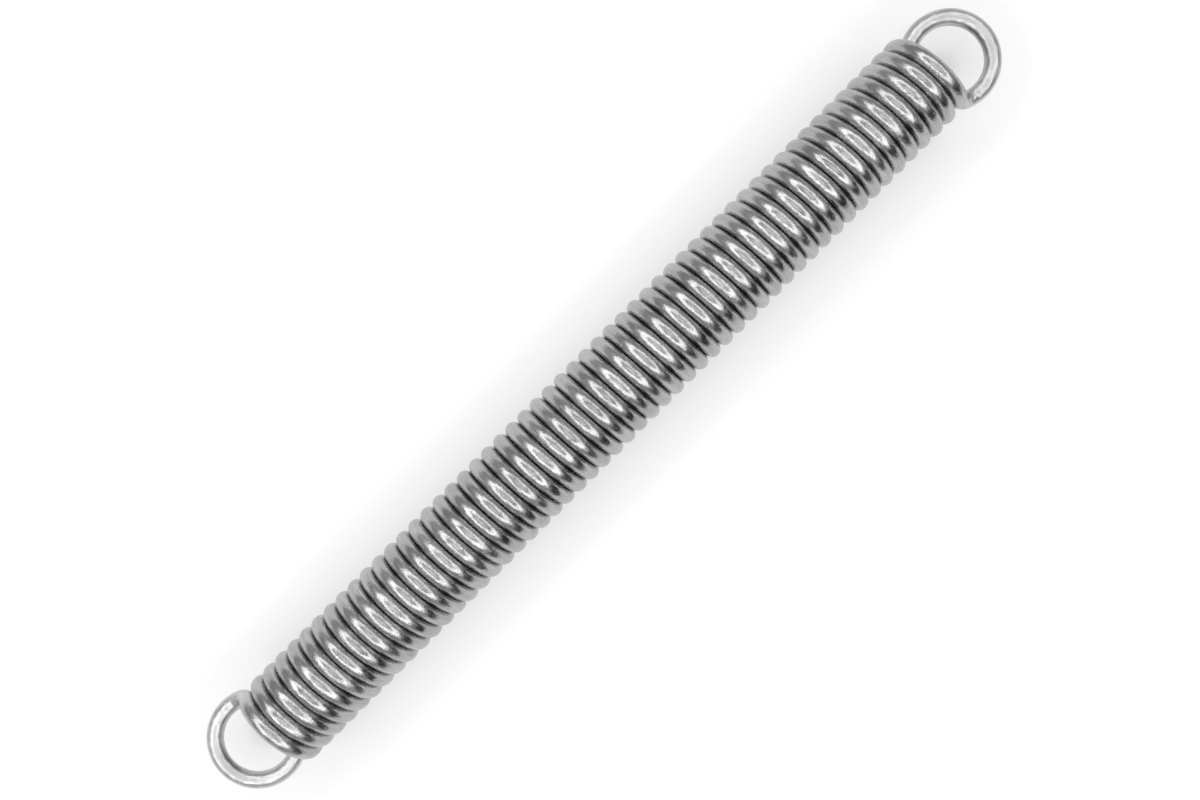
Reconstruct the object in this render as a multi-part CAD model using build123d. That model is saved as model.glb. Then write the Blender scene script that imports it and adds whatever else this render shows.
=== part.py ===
from build123d import *

import math
import os

# A close-wound extension spring: one length of round steel wire, wound right-handed, with a
# round hook loop at each end. The loops stand in the plane of the axis. Units: millimetres.
#
# Frame: the spring lies on its side. +X runs along its axis, +Z is up, and the origin is
# under its middle, on the surface that the coils rest on. Both ends are alike, so one is made
# and turned about Z, then about the axis by the part of a turn that is left over.

# Driving dimensions
WIRE_DIAMETER = 3.0  # round wire
COIL_OUTER_DIAMETER = 17.5  # over the coils
COIL_TURNS = 53.5  # the half turn sets the loops on opposite sides, in one plane
COIL_GAP = 0.02  # running clearance between neighbouring turns
LOOP_INNER_DIAMETER = 12.0  # the round opening that a hook or pin goes through
LOOP_TILT = 9.0  # degrees that the wire still rises outward where the loop starts
LIFT_OFF = 23.0  # degrees before the loop's plane where the wire leaves the coil
TIP_CLEARANCE = 0.3  # between the cut end of the wire and the first turn
TIP_CHAMFER = 0.2  # the cut end's broken edge

# Worked out from the driving dimensions
wire_radius = WIRE_DIAMETER / 2
coil_radius = (COIL_OUTER_DIAMETER - WIRE_DIAMETER) / 2  # to the wire's centre
loop_radius = (LOOP_INNER_DIAMETER + WIRE_DIAMETER) / 2  # to the wire's centre
pitch = WIRE_DIAMETER + COIL_GAP
axis_height = COIL_OUTER_DIAMETER / 2
half_length = COIL_TURNS * pitch / 2  # from the middle to where the coil meets the loop's plane


def on_coil(turn_angle):
    """The wire's centre at an angle, in radians, counted from the -X end of the coil."""
    return Vector(
        -half_length + pitch * turn_angle / (2 * math.pi),
        coil_radius * math.cos(turn_angle),
        coil_radius * math.sin(turn_angle),
    )


def coil_heading(turn_angle):
    """The direction of the wire there, towards +X."""
    return Vector(
        pitch / (2 * math.pi),
        -coil_radius * math.sin(turn_angle),
        coil_radius * math.cos(turn_angle),
    ).normalized()


def coil():
    """The turns, from where the wire leaves the coil at one end to the same place at the other."""
    lift_off = math.radians(LIFT_OFF)
    turns = COIL_TURNS - 2 * lift_off / (2 * math.pi)
    helix = Helix(pitch=pitch, height=turns * pitch, radius=coil_radius)
    # A helix starts on its local X axis and climbs its local Z axis.
    place = Location(
        Plane(
            origin=(on_coil(lift_off).X, 0, 0),
            x_dir=(0, math.cos(lift_off), math.sin(lift_off)),
            z_dir=(1, 0, 0),
        )
    )
    path = Wire([place * helix])
    section = Plane(origin=path @ 0, z_dir=path % 0) * Circle(wire_radius)
    return sweep(section, path=path, is_frenet=True)


def loop_end():
    """The bend and the hook loop at the -X end, which start where the coil stops."""
    lift_off = math.radians(LIFT_OFF)
    tilt = math.radians(LOOP_TILT)
    start = on_coil(lift_off)
    falling = -coil_heading(lift_off)  # down towards the loop's plane
    outward = Vector(-math.cos(tilt), math.sin(tilt), 0)  # along the loop's plane
    reach = start.Z / -falling.Z  # from the start to the loop's plane, along the wire
    corner = start + falling * reach
    turn = math.radians(falling.get_angle(outward))
    bend_radius = reach / math.tan(turn / 2)
    bend_axis = falling.cross(outward).normalized()
    bend_centre = start + bend_axis.cross(falling) * bend_radius
    loop_start = corner + outward * reach
    inward = Vector(-math.sin(tilt), -math.cos(tilt), 0)
    loop_centre = loop_start + inward * loop_radius

    # The loop runs on until the outer corner of its cut end is TIP_CLEARANCE short of the
    # first turn, where that crosses the loop's plane.
    first_turn_face = on_coil(math.pi).X - wire_radius
    corner_reach = first_turn_face - TIP_CLEARANCE - loop_centre.X
    tip_angle = 2 * math.pi - math.acos(corner_reach / (loop_radius + wire_radius))
    start_angle = math.atan2(-inward.Y, -inward.X)
    loop_sweep = math.degrees(tip_angle - start_angle)

    bend_section = Plane(origin=start, z_dir=falling) * Circle(wire_radius)
    bend = revolve(bend_section, Axis(bend_centre, bend_axis), math.degrees(turn))
    loop_section = Plane(origin=loop_start, z_dir=outward) * Circle(wire_radius)
    loop = revolve(loop_section, Axis(loop_centre, (0, 0, 1)), loop_sweep)
    tip = loop_centre + Vector(math.cos(tip_angle), math.sin(tip_angle), 0) * loop_radius
    tip_face = loop.faces().filter_by(GeomType.PLANE).sort_by_distance(tip)[0]
    loop = chamfer(tip_face.edges(), TIP_CHAMFER)
    return bend + loop


end = loop_end()
left_over = (COIL_TURNS - 0.5) % 1
other_end = end.rotate(Axis.Z, 180).rotate(Axis.X, 360 * left_over)
body = coil()
spring = (end + body + other_end).moved(Location((0, 0, axis_height)))

os.makedirs("parts", exist_ok=True)
export_step(spring, "parts/extension_spring.step")
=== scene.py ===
import math

import bmesh
import bpy
from mathutils import Matrix, Vector


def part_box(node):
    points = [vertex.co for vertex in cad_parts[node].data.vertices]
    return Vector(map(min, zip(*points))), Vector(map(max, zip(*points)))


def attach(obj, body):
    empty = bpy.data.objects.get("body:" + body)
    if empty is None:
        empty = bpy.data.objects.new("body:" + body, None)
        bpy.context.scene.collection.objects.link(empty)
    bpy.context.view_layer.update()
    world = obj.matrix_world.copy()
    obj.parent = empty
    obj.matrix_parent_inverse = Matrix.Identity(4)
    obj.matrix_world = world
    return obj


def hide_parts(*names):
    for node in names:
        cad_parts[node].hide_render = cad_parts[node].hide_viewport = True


# A close-wound extension spring of bright drawn wire, lying on its side. Metres.

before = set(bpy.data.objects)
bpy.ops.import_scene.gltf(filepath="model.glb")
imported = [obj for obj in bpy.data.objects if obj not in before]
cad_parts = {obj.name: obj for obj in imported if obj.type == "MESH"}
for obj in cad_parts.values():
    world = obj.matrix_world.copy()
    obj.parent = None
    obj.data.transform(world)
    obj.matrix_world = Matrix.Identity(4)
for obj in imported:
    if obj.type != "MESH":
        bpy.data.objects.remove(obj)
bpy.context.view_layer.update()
spring_low, spring_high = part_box("extension_spring")

# The wire, its coil and its two end loops
WIRE_DIAMETER = 0.003
COIL_TURNS = 53.5
COIL_GAP = 0.00002
LOOP_INNER_DIAMETER = 0.012
LOOP_TILT = math.radians(9.0)  # how far the wire still rises outward where the loop starts
LIFT_OFF = math.radians(23.0)  # how far before the loop's plane the wire leaves the coil
TIP_CLEARANCE = 0.0003
TIP_CHAMFER = 0.0002

wire_radius = WIRE_DIAMETER / 2
axis_height = spring_high.z / 2
coil_radius = axis_height - wire_radius
loop_radius = LOOP_INNER_DIAMETER / 2 + wire_radius
pitch = WIRE_DIAMETER + COIL_GAP
half_length = COIL_TURNS * pitch / 2

# Fineness of the wire's mesh
SIDES = 24
STEPS_PER_TURN = 60


def on_coil(turn_angle):
    """The wire's centre at an angle counted from the -X end of the coil."""
    return Vector((
        -half_length + pitch * turn_angle / math.tau,
        coil_radius * math.cos(turn_angle),
        axis_height + coil_radius * math.sin(turn_angle),
    ))


def coil_heading(turn_angle):
    """The wire's direction there, towards +X."""
    return Vector((
        pitch / math.tau,
        -coil_radius * math.sin(turn_angle),
        coil_radius * math.cos(turn_angle),
    )).normalized()


def end_route():
    """The -X end of the wire, outwards from the coil: its bend, its loop and its tip."""
    start = on_coil(LIFT_OFF)
    falling = -coil_heading(LIFT_OFF)
    outward = Vector((-math.cos(LOOP_TILT), math.sin(LOOP_TILT), 0))
    inward = Vector((-math.sin(LOOP_TILT), -math.cos(LOOP_TILT), 0))
    reach = (start.z - axis_height) / -falling.z
    corner = start + falling * reach
    bend_angle = falling.angle(outward)
    bend_radius = reach / math.tan(bend_angle / 2)
    bend_axis = falling.cross(outward).normalized()
    loop_centre = corner + outward * reach + inward * loop_radius

    first_turn_face = on_coil(math.pi).x - wire_radius
    corner_reach = first_turn_face - TIP_CLEARANCE - loop_centre.x
    tip_angle = math.tau - math.acos(corner_reach / (loop_radius + wire_radius))
    start_angle = math.atan2(-inward.y, -inward.x)
    return {
        "bend_centre": start + bend_axis.cross(falling) * bend_radius,
        "bend_axis": bend_axis,
        "bend_angle": bend_angle,
        "bend_length": bend_radius * bend_angle,
        "loop_centre": loop_centre,
        "loop_angle": tip_angle - start_angle,
        "tip": loop_centre + Vector((math.cos(tip_angle), math.sin(tip_angle), 0)) * loop_radius,
        "into_wire": Vector((math.sin(tip_angle), -math.cos(tip_angle), 0)),
    }


def turned_over(v):
    """The +X end's twin of a point or direction at the -X end."""
    return Vector((-v.x, -v.y, v.z))


class Wire:
    """A wire drawn out one stretch at a time, which remembers where each ring was when straight."""

    def __init__(self, tip, into_wire):
        self.bm = bmesh.new()
        self.straight = self.bm.verts.layers.float_vector.new("straight_wire")
        self.drawn = 0.0
        facing = into_wire.to_track_quat("Z", "Y").to_matrix().to_4x4()
        bmesh.ops.create_circle(
            self.bm,
            cap_ends=True,
            segments=SIDES,
            radius=wire_radius - TIP_CHAMFER,
            matrix=Matrix.Translation(tip) @ facing,
        )
        for number, vert in enumerate(self.bm.verts):
            turn = math.tau * number / SIDES
            vert[self.straight] = (0, wire_radius * math.cos(turn), wire_radius * math.sin(turn))
        self.ring = list(self.bm.verts) + list(self.bm.edges)
        self.grow(tip, into_wire * TIP_CHAMFER, wire_radius / (wire_radius - TIP_CHAMFER))

    def mark(self, rings, length):
        """Gives the newest rings their places along the straight wire."""
        self.bm.verts.ensure_lookup_table()
        first = len(self.bm.verts) - rings * SIDES
        for ring in range(rings):
            place = self.drawn + length * (ring + 1) / rings
            for vert in self.bm.verts[first + ring * SIDES:first + (ring + 1) * SIDES]:
                vert[self.straight].x = place
        self.drawn += length

    def grow(self, centre, move, size):
        """One short ring that also changes the wire's size: the broken edge of a cut tip."""
        edges = [part for part in self.ring if isinstance(part, bmesh.types.BMEdge)]
        self.ring = bmesh.ops.extrude_edge_only(self.bm, edges=edges)["geom"]
        verts = [part for part in self.ring if isinstance(part, bmesh.types.BMVert)]
        edges = [part for part in self.ring if isinstance(part, bmesh.types.BMEdge)]
        self.ring = verts + edges
        about = Matrix.Translation(-centre)
        bmesh.ops.scale(self.bm, verts=verts, vec=(size, size, size), space=about)
        bmesh.ops.translate(self.bm, verts=verts, vec=move)
        self.mark(1, move.length)

    def turn(self, centre, axis, angle, length, steps, climb=0.0):
        """An arc about an axis, or part of a helix if it climbs along that axis."""
        made = bmesh.ops.spin(
            self.bm,
            geom=self.ring,
            cent=centre,
            axis=axis,
            dvec=axis * (climb / steps),
            angle=angle,
            steps=steps,
        )
        self.ring = made["geom_last"]
        self.mark(steps, length)

    def repeat(self, first_face, times, climb, length):
        """Copies of the newest full turn, one pitch apart, which start at the face given."""
        self.bm.faces.ensure_lookup_table()
        faces = self.bm.faces[first_face:]
        edges = {edge for face in faces for edge in face.edges}
        verts = {vert for face in faces for vert in face.verts}
        for number in range(1, times + 1):
            copy = bmesh.ops.duplicate(self.bm, geom=[*verts, *edges, *faces])
            copied = [part for part in copy["geom"] if isinstance(part, bmesh.types.BMVert)]
            bmesh.ops.translate(self.bm, verts=copied, vec=climb * number)
            for vert in copied:
                vert[self.straight].x += length * number
        last = copy["edge_map"]
        ring_edges = [last[part] for part in self.ring if isinstance(part, bmesh.types.BMEdge)]
        ring_verts = {vert for edge in ring_edges for vert in edge.verts}
        self.ring = [*ring_verts, *ring_edges]
        self.drawn += length * times

    def close(self):
        """Fills the last ring with a flat face."""
        edges = [part for part in self.ring if isinstance(part, bmesh.types.BMEdge)]
        bmesh.ops.edgeloop_fill(self.bm, edges=edges)


def spring_wire():
    """The whole wire, from the cut tip at the -X end to the one at the +X end."""
    end = end_route()
    vertical = Vector((0, 0, 1))
    loop_steps = round(STEPS_PER_TURN * end["loop_angle"] / math.tau) + 10
    loop_length = loop_radius * end["loop_angle"]
    turn_length = math.hypot(coil_radius * math.tau, pitch)
    full_turns = math.floor(COIL_TURNS - 2 * LIFT_OFF / math.tau)
    part_turn = COIL_TURNS - 2 * LIFT_OFF / math.tau - full_turns
    part_steps = round(STEPS_PER_TURN * part_turn)
    bend_steps = 14

    wire = Wire(end["tip"], end["into_wire"])
    wire.turn(end["loop_centre"], vertical, -end["loop_angle"], loop_length, loop_steps)
    wire.turn(end["bend_centre"], end["bend_axis"], -end["bend_angle"], end["bend_length"], bend_steps)
    coil_axis = Vector((1, 0, 0))
    on_axis = Vector((0, 0, axis_height))
    turn_face = len(wire.bm.faces)
    wire.turn(on_axis, coil_axis, math.tau, turn_length, STEPS_PER_TURN, pitch)
    wire.repeat(turn_face, full_turns - 1, coil_axis * pitch, turn_length)
    part_angle = part_turn * math.tau
    part_length = part_turn * turn_length
    wire.turn(on_axis, coil_axis, part_angle, part_length, part_steps, part_turn * pitch)
    wire.turn(
        turned_over(end["bend_centre"]),
        turned_over(end["bend_axis"]),
        end["bend_angle"],
        end["bend_length"],
        bend_steps,
    )
    wire.turn(turned_over(end["loop_centre"]), vertical, end["loop_angle"], loop_length, loop_steps)
    out_of_wire = -turned_over(end["into_wire"])
    smaller = (wire_radius - TIP_CHAMFER) / wire_radius
    wire.grow(turned_over(end["tip"]), out_of_wire * TIP_CHAMFER, smaller)
    wire.close()

    bm = wire.bm
    bmesh.ops.remove_doubles(bm, verts=bm.verts, dist=1e-6)
    bmesh.ops.recalc_face_normals(bm, faces=bm.faces)
    for face in bm.faces:
        face.smooth = len(face.verts) == 4
    mesh = bpy.data.meshes.new("spring_wire")
    bm.to_mesh(mesh)
    bm.free()
    end_length = loop_length + end["bend_length"]
    mesh.materials.append(drawn_steel(wire.drawn, end_length))
    piece = bpy.data.objects.new("spring_wire", mesh)
    bpy.context.scene.collection.objects.link(piece)
    return piece


def new_material(name):
    """A node material with its shader and output ready."""
    material = bpy.data.materials.new(name)
    material.use_nodes = True
    return material, material.node_tree.nodes, material.node_tree.links


def drawn_steel(wire_length, end_length):
    """Bright drawn spring wire: fine streaks along the wire, scuffs, and an uneven brightness."""
    material, nodes, links = new_material("drawn_steel")
    shader = nodes["Principled BSDF"]
    shader.inputs["Metallic"].default_value = 1.0
    straight = nodes.new("ShaderNodeAttribute")
    straight.attribute_name = "straight_wire"

    def noise(name, scale, detail):
        stretch = nodes.new("ShaderNodeMapping")
        stretch.name = name + "_scale"
        stretch.inputs["Scale"].default_value = scale
        links.new(straight.outputs["Vector"], stretch.inputs["Vector"])
        texture = nodes.new("ShaderNodeTexNoise")
        texture.name = name
        texture.inputs["Scale"].default_value = 1.0
        texture.inputs["Detail"].default_value = detail
        links.new(stretch.outputs["Vector"], texture.inputs["Vector"])
        return texture.outputs["Fac"]

    def spread(value, low, high, to_low, to_high):
        remap = nodes.new("ShaderNodeMapRange")
        remap.inputs["From Min"].default_value = low
        remap.inputs["From Max"].default_value = high
        remap.inputs["To Min"].default_value = to_low
        remap.inputs["To Max"].default_value = to_high
        links.new(value, remap.inputs["Value"])
        return remap.outputs["Result"]

    def combine(operation, first, second):
        node = nodes.new("ShaderNodeMath")
        node.operation = operation
        links.new(first, node.inputs[0])
        links.new(second, node.inputs[1])
        return node.outputs["Value"]

    die_lines = noise("die_lines", (250, 7000, 7000), 4.0)
    scuffs = noise("scuffs", (900, 1900, 1900), 4.0)
    patches = noise("patches", (160, 500, 500), 2.0)
    tool_nicks = noise("tool_nicks", (700, 500, 500), 0.0)

    # The end loops were bent over tooling: they are duller than the coil, and the sharp bend beside
    # the coil keeps shallow nicks. Their paler colour is a painted highlight for the soft sheen they catch.
    place = nodes.new("ShaderNodeSeparateXYZ")
    links.new(straight.outputs["Vector"], place.inputs["Vector"])
    along = place.outputs["X"]
    other_end = wire_length - end_length
    first_loop = spread(along, end_length * 0.9, end_length * 1.1, 1.0, 0.0)
    last_loop = spread(along, other_end - end_length * 0.1, other_end + end_length * 0.1, 0.0, 1.0)
    in_loop = combine("ADD", first_loop, last_loop)
    first_side = spread(along, end_length * 0.68, end_length * 0.85, 0.0, 1.0)
    last_side = spread(along, other_end + end_length * 0.15, other_end + end_length * 0.32, 1.0, 0.0)
    at_bend = combine("MULTIPLY", in_loop, combine("MULTIPLY", first_side, last_side))

    tone = combine("MULTIPLY", spread(die_lines, 0.3, 0.7, 0.37, 0.50), spread(patches, 0.3, 0.7, 0.84, 1.08))
    # Painted highlight: in the end loops the base colour is raised up to 1.35 times, standing in for the
    # broad sheen they catch from the lamps.
    tone = combine("MULTIPLY", tone, spread(in_loop, 0.0, 1.0, 1.0, 1.35))
    links.new(tone, shader.inputs["Base Color"])
    rough = combine("ADD", spread(scuffs, 0.3, 0.7, 0.16, 0.30), spread(patches, 0.3, 0.7, -0.02, 0.05))
    rough = combine("ADD", rough, spread(in_loop, 0.0, 1.0, 0.0, 0.14))
    links.new(rough, shader.inputs["Roughness"])

    fine = nodes.new("ShaderNodeBump")
    fine.inputs["Strength"].default_value = 0.35
    fine.inputs["Distance"].default_value = 0.00003
    links.new(die_lines, fine.inputs["Height"])
    coarse = nodes.new("ShaderNodeBump")
    coarse.inputs["Strength"].default_value = 0.8
    coarse.inputs["Distance"].default_value = 0.00011
    links.new(scuffs, coarse.inputs["Height"])
    links.new(fine.outputs["Normal"], coarse.inputs["Normal"])
    nicks = nodes.new("ShaderNodeBump")
    nicks.inputs["Strength"].default_value = 0.4
    nicks.inputs["Distance"].default_value = 0.0002
    links.new(combine("MULTIPLY", at_bend, spread(tool_nicks, 0.35, 0.6, 0.0, 1.0)), nicks.inputs["Height"])
    links.new(coarse.outputs["Normal"], nicks.inputs["Normal"])
    links.new(nicks.outputs["Normal"], shader.inputs["Normal"])
    return material


def white_paper():
    """The floor: matt white paper, partly lit of itself where it is looked at, so it shows white."""
    material, nodes, links = new_material("white_paper")
    shader = nodes["Principled BSDF"]
    shader.inputs["Base Color"].default_value = (0.92, 0.92, 0.92, 1)
    shader.inputs["Roughness"].default_value = 0.9
    shader.inputs["Specular IOR Level"].default_value = 0.1
    glow = nodes.new("ShaderNodeEmission")
    glow.inputs["Color"].default_value = (1, 1, 1, 1)
    glow.inputs["Strength"].default_value = 1.0
    rays = nodes.new("ShaderNodeLightPath")
    looked_at = rays.outputs["Is Camera Ray"]
    for other in ("Is Glossy Ray", "Is Transmission Ray"):
        either = nodes.new("ShaderNodeMath")
        either.operation = "MAXIMUM"
        links.new(looked_at, either.inputs[0])
        links.new(rays.outputs[other], either.inputs[1])
        looked_at = either.outputs["Value"]
    share = nodes.new("ShaderNodeMath")
    share.operation = "MULTIPLY"
    share.inputs[1].default_value = 0.4
    links.new(looked_at, share.inputs[0])
    mix = nodes.new("ShaderNodeMixShader")
    links.new(share.outputs["Value"], mix.inputs["Fac"])
    links.new(shader.outputs["BSDF"], mix.inputs[1])
    links.new(glow.outputs["Emission"], mix.inputs[2])
    links.new(mix.outputs["Shader"], nodes["Material Output"].inputs["Surface"])
    return material


def staged(name, size, place, material):
    """A flat sheet of the studio, which isn't part of the spring."""
    bm = bmesh.new()
    bmesh.ops.create_grid(bm, x_segments=1, y_segments=1, size=0.5)
    bmesh.ops.scale(bm, verts=bm.verts, vec=(size[0], size[1], 1))
    bmesh.ops.transform(bm, verts=bm.verts, matrix=place)
    mesh = bpy.data.meshes.new(name)
    bm.to_mesh(mesh)
    bm.free()
    mesh.materials.append(material)
    piece = bpy.data.objects.new(name, mesh)
    bpy.context.scene.collection.objects.link(piece)
    return piece


def dark_card():
    """A low dark card on one side, out of sight, for the metal to reflect."""
    material, nodes, links = new_material("dark_card")
    nodes["Principled BSDF"].inputs["Base Color"].default_value = (0.02, 0.02, 0.02, 1)
    nodes["Principled BSDF"].inputs["Roughness"].default_value = 0.9
    height = 0.3
    away = Vector((0.125, -0.485, 0))
    facing = (-away).to_track_quat("Z", "Y").to_matrix().to_4x4()
    place = Matrix.Translation(away + Vector((0, 0, height / 2))) @ facing
    card = staged("dark_card", (0.8, height), place, material)
    card.visible_camera = False
    card.visible_shadow = False


def softbox(name, azimuth, zenith, distance, width, height, radiance):
    """A square soft light aimed at the spring, so bright per unit of its face."""
    lamp = bpy.data.lights.new(name, "AREA")
    lamp.shape = "RECTANGLE"
    lamp.size = width
    lamp.size_y = height
    lamp.energy = radiance * math.pi * width * height
    place = Vector((
        math.sin(zenith) * math.cos(azimuth),
        math.sin(zenith) * math.sin(azimuth),
        math.cos(zenith),
    )) * distance
    lamp_object = bpy.data.objects.new(name, lamp)
    lamp_object.location = place + Vector((0, 0, axis_height))
    lamp_object.rotation_mode = "QUATERNION"
    lamp_object.rotation_quaternion = place.to_track_quat("Z", "Y")
    bpy.context.scene.collection.objects.link(lamp_object)


def studio():
    """A ring of soft lights about the vertical, a dim one overhead, and a grey room."""
    lamps = 8
    for number in range(lamps):
        azimuth = math.tau * number / lamps
        radiance = 2.5 - 0.5 * math.cos(azimuth)
        softbox(f"ring_{number}", azimuth, math.radians(42), 0.6, 0.32, 0.18, radiance)
    softbox("overhead", 0.0, 0.0, 0.9, 0.5, 0.5, 1.0)

    world = bpy.data.worlds.new("studio")
    world.use_nodes = True
    background = world.node_tree.nodes["Background"]
    background.inputs["Color"].default_value = (0.42, 0.42, 0.42, 1)
    background.inputs["Strength"].default_value = 1.0
    bpy.context.scene.world = world


def camera():
    """Almost straight above, turned so that the spring runs from lower left to upper right."""
    lens = bpy.data.cameras.new("camera")
    lens.lens = 39.53
    lens.sensor_width = 36.0
    lens.clip_start = 0.01
    place = Vector((0.0055, 0.0, 0.24))
    looked_at = Vector((0.00015, 0.0003, axis_height))
    run = math.radians(45.03)
    back = (place - looked_at).normalized()
    up = Vector((math.sin(run), math.cos(run), 0))
    right = up.cross(back).normalized()
    up = back.cross(right)
    viewer = bpy.data.objects.new("camera", lens)
    viewer.matrix_world = Matrix.Translation(place) @ Matrix((right, up, back)).transposed().to_4x4()
    bpy.context.scene.collection.objects.link(viewer)
    bpy.context.scene.camera = viewer


camera()
studio()
staged("floor", (8.0, 8.0), Matrix.Identity(4), white_paper())
dark_card()

wire = spring_wire()
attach(wire, "root")
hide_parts("extension_spring")

bpy.context.scene.view_settings.view_transform = "Standard"
